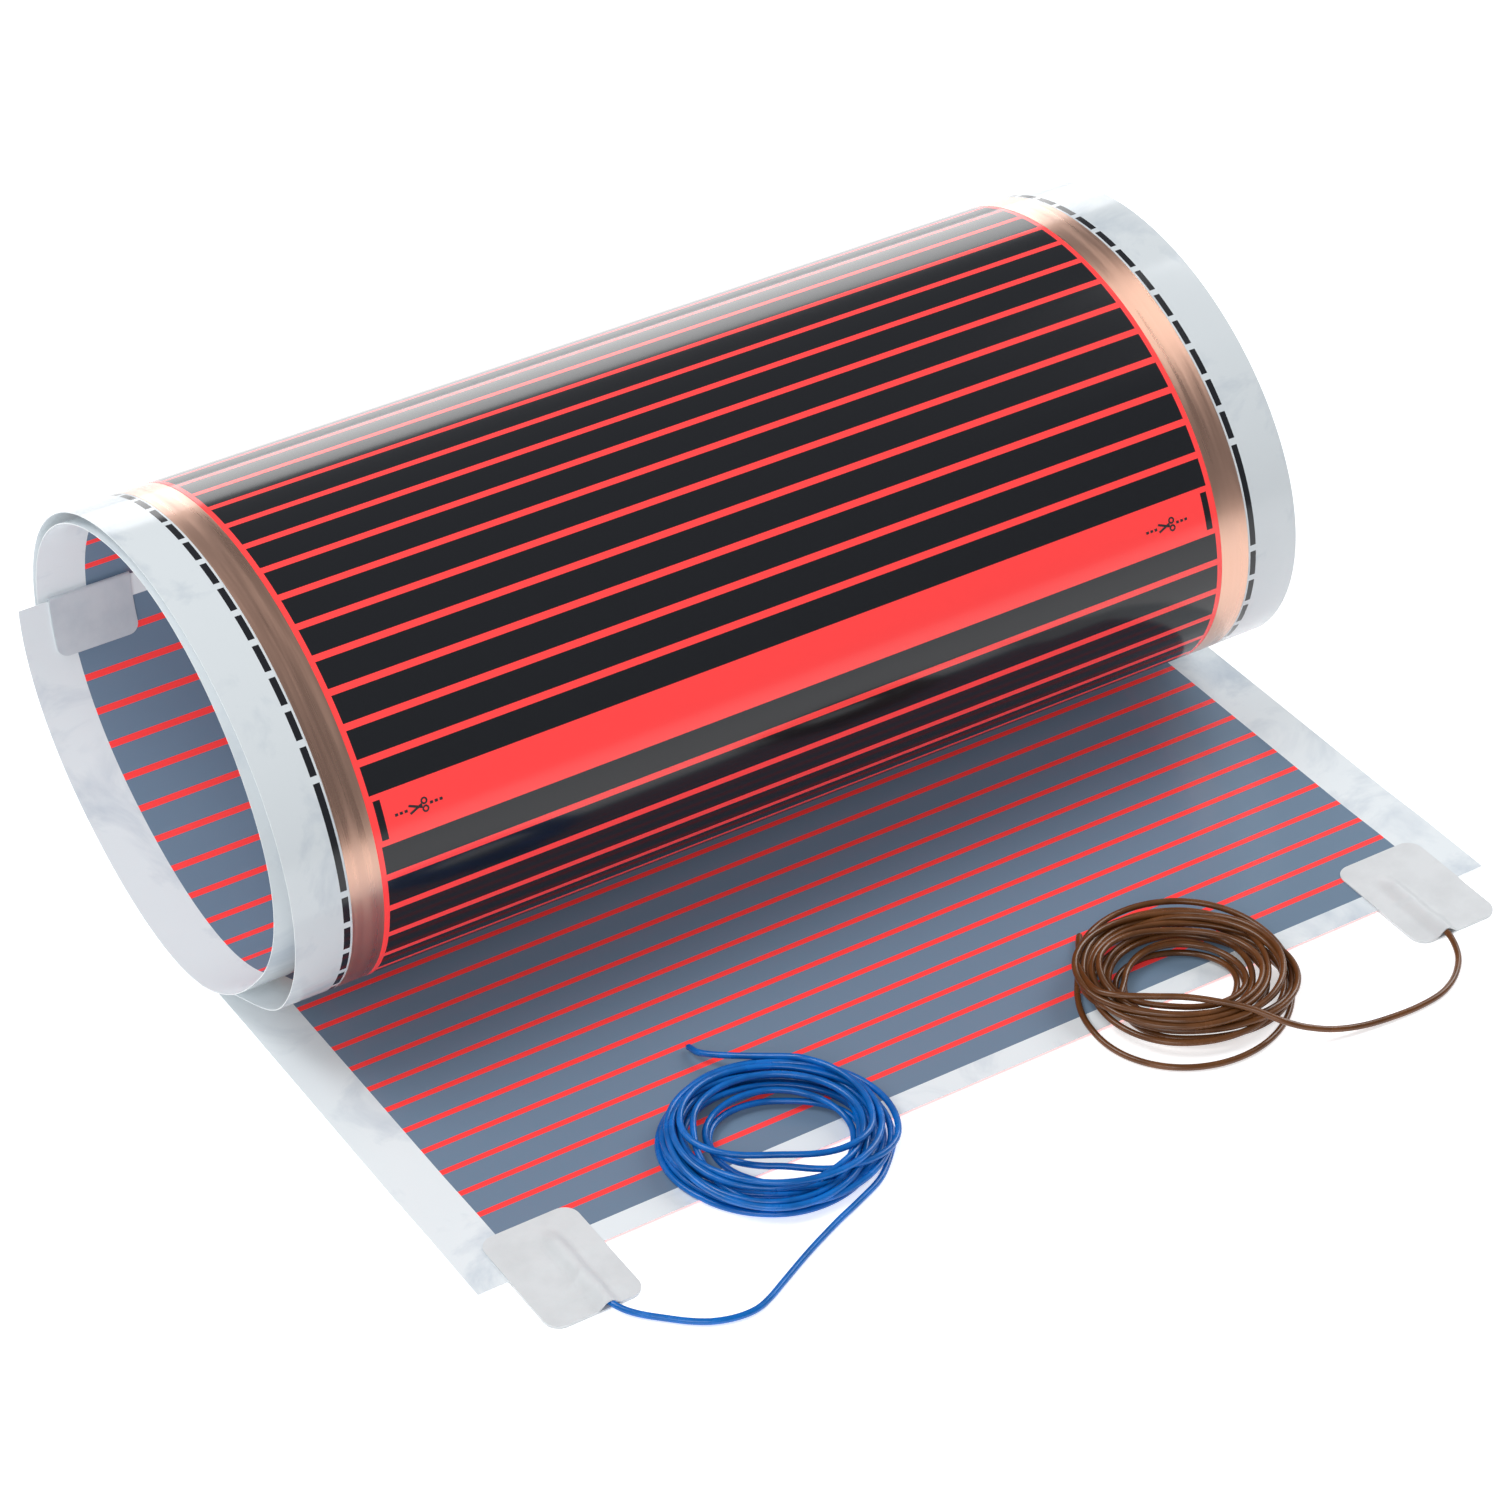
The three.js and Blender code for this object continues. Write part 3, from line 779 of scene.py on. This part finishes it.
def make_end_pad(side, material):
    """Tape folded round the film's free end: out along one face, round the end and back on the other."""
    start = FILM_LENGTH - END_PAD_LEAF
    radius = END_PAD_CORNER_RADIUS
    corner = radius * (1 - np.cos(np.linspace(0, math.pi / 2, PAD_CORNER_STEPS)))
    leaf = start + np.concatenate([corner, np.linspace(radius, END_PAD_LEAF, END_PAD_ROWS)[1:]])
    middle = FILM_THICKNESS / 2
    inner_radius = middle + END_PAD_CLEARANCE
    outer_radius = inner_radius + PAD_THICKNESS
    turn = np.linspace(-math.pi / 2, math.pi / 2, END_PAD_FOLD_STEPS)[1:-1]
    rings = []
    for reach in (inner_radius, outer_radius):
        distance = np.concatenate([leaf, FILM_LENGTH + reach * np.cos(turn), leaf[::-1]])
        height = np.concatenate([np.full(len(leaf), middle - reach), middle + reach * np.sin(turn),
                                 np.full(len(leaf), middle + reach)])
        rings.append((distance, height))
    across = np.linspace(-1, 1, END_PAD_COLUMNS)
    inset = np.maximum(radius - (rings[0][0] - start), 0)
    half = END_PAD_WIDTH / 2 - radius + np.sqrt(np.maximum(radius ** 2 - inset ** 2, 0))
    x = side * COPPER_CENTRE_X + half[:, None] * across[None, :]
    inner, outer = (film_point(x, distance[:, None], height[:, None]) for distance, height in rings)
    points = np.concatenate([inner, outer[:, ::-1]], axis=1)
    hand = "left" if side < 0 else "right"
    return closed_strip(f"end_tape_{hand}", points[:, ::-1], [material], [f"end_pad_{hand}"])


# Wires

def smooth_line(points, step):
    """A curve through points, by Catmull and Rom's formula, taken at even steps along its length."""
    points = np.asarray(points, float)
    padded = np.concatenate([[2 * points[0] - points[1]], points, [2 * points[-1] - points[-2]]])
    t = np.linspace(0, 1, 12, endpoint=False)[:, None]
    before, first, second, after = (padded[i:len(padded) - 3 + i, None, :] for i in range(4))
    curve = 0.5 * (2 * first + (second - before) * t + (2 * before - 5 * first + 4 * second - after) * t ** 2
                   + (3 * first - before - 3 * second + after) * t ** 3)
    return even_steps(np.concatenate([curve.reshape(-1, 3), points[-1:]]), step)


def even_steps(line, step):
    """A line's points taken again at even steps along its length."""
    along = np.concatenate([[0], np.cumsum(np.linalg.norm(np.diff(line, axis=0), axis=1))])
    at = np.linspace(0, along[-1], max(2, round(along[-1] / step) + 1))
    return np.stack([np.interp(at, along, line[:, axis]) for axis in range(3)], axis=1)


def coil_turns(wire):
    """The coil's turns, in millimetres, seen with X to the photograph's right and then turned back.

    The place is an ellipse between the inner and the outer one. How far out and how high it lies changes
    smoothly between chance values at each quarter turn, or the loose turns' own values.
    """
    chance = np.random.default_rng(wire["seed"])
    first, last = math.radians(wire["start_angle"]), math.radians(wire["end_angle"])
    sense = 1 if last > first else -1
    total = 2 * math.pi * wire["turns"] + abs(last - first)
    passed = np.linspace(0, total, COIL_POINTS_PER_TURN * wire["turns"])
    quarter = passed / (math.pi / 2)
    knots = int(quarter[-1]) + 2
    low, high = wire["heights"]
    out = np.repeat(chance.uniform(*COIL_OUT_RANGE, knots // 4 + 1), 4)[:knots]
    out = out + chance.uniform(-COIL_OUT_WANDER, COIL_OUT_WANDER, knots)
    height = low + (high - low) * np.arange(knots) / knots
    height = height + chance.uniform(-COIL_HEIGHT_WANDER, COIL_HEIGHT_WANDER, knots)
    for index, (share, level) in wire["loose"].items():
        out[index], height[index] = share, level
    before = np.floor(quarter).astype(int)
    way = ease(quarter - before)
    out, height = (row[before] + (row[before + 1] - row[before]) * way for row in (out, height))
    across, deep = ((inner + (outer - inner) * out) for inner, outer in (wire["across"], wire["deep"]))
    angle = first + sense * passed
    x = wire["shift"][0] + across * np.cos(angle)
    y = wire["shift"][1] + deep * np.sin(angle)
    turn = math.radians(VIEW_AZIMUTH)
    centre_x, centre_y = wire["centre"]
    return np.stack([centre_x + x * math.cos(turn) - y * math.sin(turn),
                     centre_y + x * math.sin(turn) + y * math.cos(turn), height], axis=1)


def settle(line, held):
    """Lets a wire's turns lie beside and over each other.

    Points nearer than a diameter push apart, the way each has moved stays smooth along the wire, and
    nothing goes below what it lies on.
    """
    thick = WIRE_DIAMETER / MM
    step = np.linalg.norm(np.diff(line, axis=0), axis=1).mean()
    apart = int(math.ceil(SETTLE_SKIPPED_DIAMETERS * thick / step))
    moved = np.zeros_like(line)
    floor = np.where(line[:, 1] > -thick, FILM_TOP / MM, 0.0) + thick / 2 + SETTLE_FLOOR_GAP
    for count in range(SETTLE_ROUNDS):
        now = line + moved
        if count % SETTLE_SEARCH_EVERY == 0:
            gap = np.linalg.norm(now[:, None, :] - now[None, :, :], axis=2)
            one, other = np.nonzero(np.triu(gap < SETTLE_SEARCH_DIAMETERS * thick, apart))
        offset = now[one] - now[other]
        distance = np.linalg.norm(offset, axis=1) + 1e-9
        push = offset * (SETTLE_PUSH * np.maximum(thick - distance, 0) / distance)[:, None]
        for axis in range(3):
            shift = np.bincount(one, push[:, axis], len(line))
            shift = shift - np.bincount(other, push[:, axis], len(line))
            moved[:, axis] += np.clip(shift, -SETTLE_LONGEST_PUSH, SETTLE_LONGEST_PUSH)
        moved[:, 2] -= SETTLE_SINK
        moved[1:-1] += SETTLE_SMOOTHING * ((moved[:-2] + moved[2:]) / 2 - moved[1:-1])
        moved[held] = 0
        moved[:, 2] = np.maximum(moved[:, 2], np.where(held, -1.0, floor - line[:, 2]))
    return line + moved


def wire_line(wire):
    """The whole wire's centreline in metres: the lead, the coil's turns and the tail, on one curve."""
    rough = np.concatenate([wire["lead"] + wire["join"], coil_turns(wire), wire["tail"]])
    line = smooth_line(rough, SETTLE_STEP)
    lead_end = np.argmin(np.linalg.norm(line - np.array(wire["lead"][-2]), axis=1))
    held = np.arange(len(line)) < lead_end
    held |= np.arange(len(line)) > len(line) - SETTLE_TAIL_HELD
    line = settle(line, held)
    return smooth_line(line, WIRE_STEP / MM) * MM + FRAME_SHIFT


def tube_points(line, radius, sides):
    """Rings of points square to a line. Each ring's first direction is the last one's, kept square."""
    along = np.gradient(line, axis=0)
    along /= np.linalg.norm(along, axis=1)[:, None]
    first = np.empty_like(line)
    direction = np.cross(along[0], (0, 0, 1))
    for i, ahead in enumerate(along):
        direction = direction - ahead * (direction @ ahead)
        direction /= np.linalg.norm(direction)
        first[i] = direction
    second = np.cross(along, first)
    angle = np.linspace(0, 2 * math.pi, sides, endpoint=False)
    ring = first[:, None, :] * np.cos(angle)[None, :, None]
    ring = ring + second[:, None, :] * np.sin(angle)[None, :, None]
    return line[:, None, :] + radius * ring


def make_wire(wire, insulation, metal, diameter):
    """A lead wire as one tube, and the bare metal at its free end."""
    name = wire["name"]
    line = wire_line(wire)
    tube = tube_points(line, diameter / 2, WIRE_RING_SIDES)
    replaced = [f"{name}_lead", f"{name}_coil", f"{name}_tail"]
    piece = closed_strip(f"{name}_wire", tube, [insulation], replaced)
    ahead = line[-1] - line[-2]
    ahead /= np.linalg.norm(ahead)
    core_line = line[-1] + ahead * np.linspace(-CONDUCTOR_BURIED, CONDUCTOR_BARE, 6)[:, None] * MM
    core_tube = tube_points(core_line, CONDUCTOR_RADIUS, WIRE_RING_SIDES)
    core = closed_strip(f"{name}_conductor", core_tube, [metal], [])
    return piece


# Stage

FLOOR_HALF_WIDTH = 12.0
FLOOR_DROP = 0.02 * MM
FLOOR_DULL_WHITE = (0.91, 0.92, 0.93, 1)
FLOOR_BRIGHT_WHITE = (0.95, 0.95, 0.95, 1)
FLOOR_GLOW = 0.55
BACKDROP_COLOUR = (0.93, 0.96, 1.0, 1)
BACKDROP_STRENGTH = 0.24

# Name, place, what it is turned to, size and power. The low card shows in the roll's top, and the others
# stand to its sides, where the roll doesn't reflect them towards the camera.
STUDIO_LIGHTS = (
    ("low_back_card", (0.93, 2.2, 0.62), (0.0, 0.3, 0.1), (1.3, 1.05), 11),
    ("front_left_softbox", (-1.3, -1.4, 1.3), (0.0, 0.05, 0.05), (1.0, 1.0), 13),
    ("right_softbox", (1.9, 0.2, 1.5), (0.0, 0.05, 0.05), (1.3, 1.3), 27),
    ("left_softbox", (-1.0, 0.5, 1.9), (0.0, 0.05, 0.05), (1.1, 1.1), 22),
)


def make_stage():
    """A plain white floor and soft lights over it."""
    half = FLOOR_HALF_WIDTH
    mesh = bpy.data.meshes.new("studio_floor")
    mesh.from_pydata([(-half, -half, 0), (half, -half, 0), (half, half, 0), (-half, half, 0)], [],
                     [(0, 1, 2, 3)])
    floor = bpy.data.objects.new("studio_floor", mesh)
    bpy.context.scene.collection.objects.link(floor)
    floor.location.z = -FLOOR_DROP
    material, tree, shader = new_material(
        "studio_floor", Roughness=0.9, Specular_IOR_Level=0.1, Emission_Strength=FLOOR_GLOW)
    cloud = add_noise(tree, place_of(tree, "Object"), 3, detail=1)
    white = blend_colours(tree, cloud, FLOOR_DULL_WHITE, FLOOR_BRIGHT_WHITE)
    tree.links.new(white, shader.inputs["Base Color"])
    tree.links.new(white, shader.inputs["Emission Color"])
    mesh.materials.append(material)

    world = bpy.data.worlds.new("studio")
    world.use_nodes = True
    backdrop = world.node_tree.nodes["Background"]
    backdrop.inputs["Color"].default_value = BACKDROP_COLOUR
    backdrop.inputs["Strength"].default_value = BACKDROP_STRENGTH
    bpy.context.scene.world = world

    for name, place, aim, size, power in STUDIO_LIGHTS:
        light = bpy.data.lights.new(name, "AREA")
        light.shape = "RECTANGLE"
        light.size, light.size_y = size
        light.energy = power
        lamp = bpy.data.objects.new(name, light)
        lamp.location = place
        lamp.rotation_euler = (Vector(aim) - Vector(place)).to_track_quat("-Z", "Y").to_euler()
        bpy.context.scene.collection.objects.link(lamp)


def make_camera():
    """The camera at the photograph's viewing angle."""
    azimuth, elevation, roll = (math.radians(a) for a in (VIEW_AZIMUTH, VIEW_ELEVATION, VIEW_ROLL))
    back = Vector((math.sin(azimuth) * math.cos(elevation), -math.cos(azimuth) * math.cos(elevation),
                   math.sin(elevation)))
    level = Vector((math.cos(azimuth), math.sin(azimuth), 0))
    rise = back.cross(level)
    right = level * math.cos(roll) + rise * math.sin(roll)
    up = rise * math.cos(roll) - level * math.sin(roll)
    data = bpy.data.cameras.new("camera")
    data.sensor_width = SENSOR_WIDTH
    data.lens = FOCAL_PIXELS / FRAME_PIXELS * SENSOR_WIDTH
    camera = bpy.data.objects.new("camera", data)
    camera.matrix_world = Matrix.Translation(VIEW_TARGET + back * VIEW_DISTANCE) @ Matrix(
        (right, up, back)).transposed().to_4x4()
    bpy.context.scene.collection.objects.link(camera)
    bpy.context.scene.camera = camera


def colour_property(name, description, default):
    """A colour that a user can change."""
    return bpy.props.FloatVectorProperty(
        name=name, description=description, default=default, subtype="COLOR", size=3, min=0, max=1)


class HeaterSettings(bpy.types.PropertyGroup):
    """Sizes and colours that a user can change before making the pieces"""

    wire_diameter: bpy.props.FloatProperty(
        name="Wire diameter", description="Outer diameter of both lead wires", default=WIRE_DIAMETER,
        min=WIRE_DIAMETER / 2, max=WIRE_DIAMETER, unit="LENGTH")
    line_colour: colour_property("Lines", "Colour of the printed lines and cut bands", RED)
    inner_cell_colour: colour_property("Inner cells", "Colour of the cells on the inner face", CELL_SLATE)
    tape_colour: colour_property("Tape", "Colour of the front pads", TAPE_WHITE)
    blue_colour: colour_property("Blue wire", "Colour of the blue insulation", BLUE["colour"])
    brown_colour: colour_property("Brown wire", "Colour of the brown insulation", BROWN["colour"])


class HEATER_OT_stage(bpy.types.Operator):
    """Makes the floor, the lights and the camera"""

    bl_idname = "heater.stage"
    bl_label = "Stage"

    def execute(self, context):
        context.scene.view_settings.view_transform = "Standard"
        make_stage()
        make_camera()
        return {"FINISHED"}


class HEATER_OT_wires(bpy.types.Operator):
    """Makes the two lead wires with their coils"""

    bl_idname = "heater.wires"
    bl_label = "Wires"

    def execute(self, context):
        settings = context.scene.heating_film
        metal = copper_material()
        for wire, colour in ((BLUE, settings.blue_colour), (BROWN, settings.brown_colour)):
            insulation = insulation_material(f"{wire['name']}_insulation", tuple(colour))
            make_wire(wire, insulation, metal, settings.wire_diameter)
        return {"FINISHED"}


class HEATER_OT_film(bpy.types.Operator):
    """Makes the printed film"""

    bl_idname = "heater.film"
    bl_label = "Film"

    def execute(self, context):
        settings = context.scene.heating_film
        make_film(film_materials(section_print_group(), laminate_group(), settings))
        make_cut_marks(ink_material())
        return {"FINISHED"}


class HEATER_OT_copper(bpy.types.Operator):
    """Makes the two copper strips"""

    bl_idname = "heater.copper"
    bl_label = "Copper strips"

    def execute(self, context):
        material = copper_material()
        for side in (-1, 1):
            make_copper(side, material)
        return {"FINISHED"}


class HEATER_OT_pads(bpy.types.Operator):
    """Makes the insulating pads at both ends of the film"""

    bl_idname = "heater.pads"
    bl_label = "Pads"

    def execute(self, context):
        white = tuple(context.scene.heating_film.tape_colour)
        tape = pad_material("front_tape", (*white, 1), (*(0.9 * part for part in white), 1))
        end_tape = pad_material("end_tape", *END_TAPE_COLOURS)
        for wire in (BLUE, BROWN):
            make_front_pads(wire, tape)
            make_end_pad(wire["side"], end_tape)
        return {"FINISHED"}


class HEATER_PT_panel(bpy.types.Panel):
    """Lists the pieces"""

    bl_label = "Heating film"
    bl_space_type = "VIEW_3D"
    bl_region_type = "UI"
    bl_category = "Heating film"

    def draw(self, context):
        for setting in HeaterSettings.__annotations__:
            self.layout.prop(context.scene.heating_film, setting)
        for operator in OPERATORS:
            self.layout.operator(operator.bl_idname)


OPERATORS = (HEATER_OT_stage, HEATER_OT_wires, HEATER_OT_film, HEATER_OT_copper, HEATER_OT_pads)
CLASSES = (HeaterSettings,) + OPERATORS + (HEATER_PT_panel,)


def register():
    for item in CLASSES:
        bpy.utils.register_class(item)
    bpy.types.Scene.heating_film = bpy.props.PointerProperty(type=HeaterSettings)


def unregister():
    del bpy.types.Scene.heating_film
    for item in reversed(CLASSES):
        bpy.utils.unregister_class(item)


def main():
    register()
    bpy.ops.heater.stage()
    bpy.ops.heater.wires()
    bpy.ops.heater.film()
    bpy.ops.heater.copper()
    bpy.ops.heater.pads()


if __name__ == "__main__":
    main()
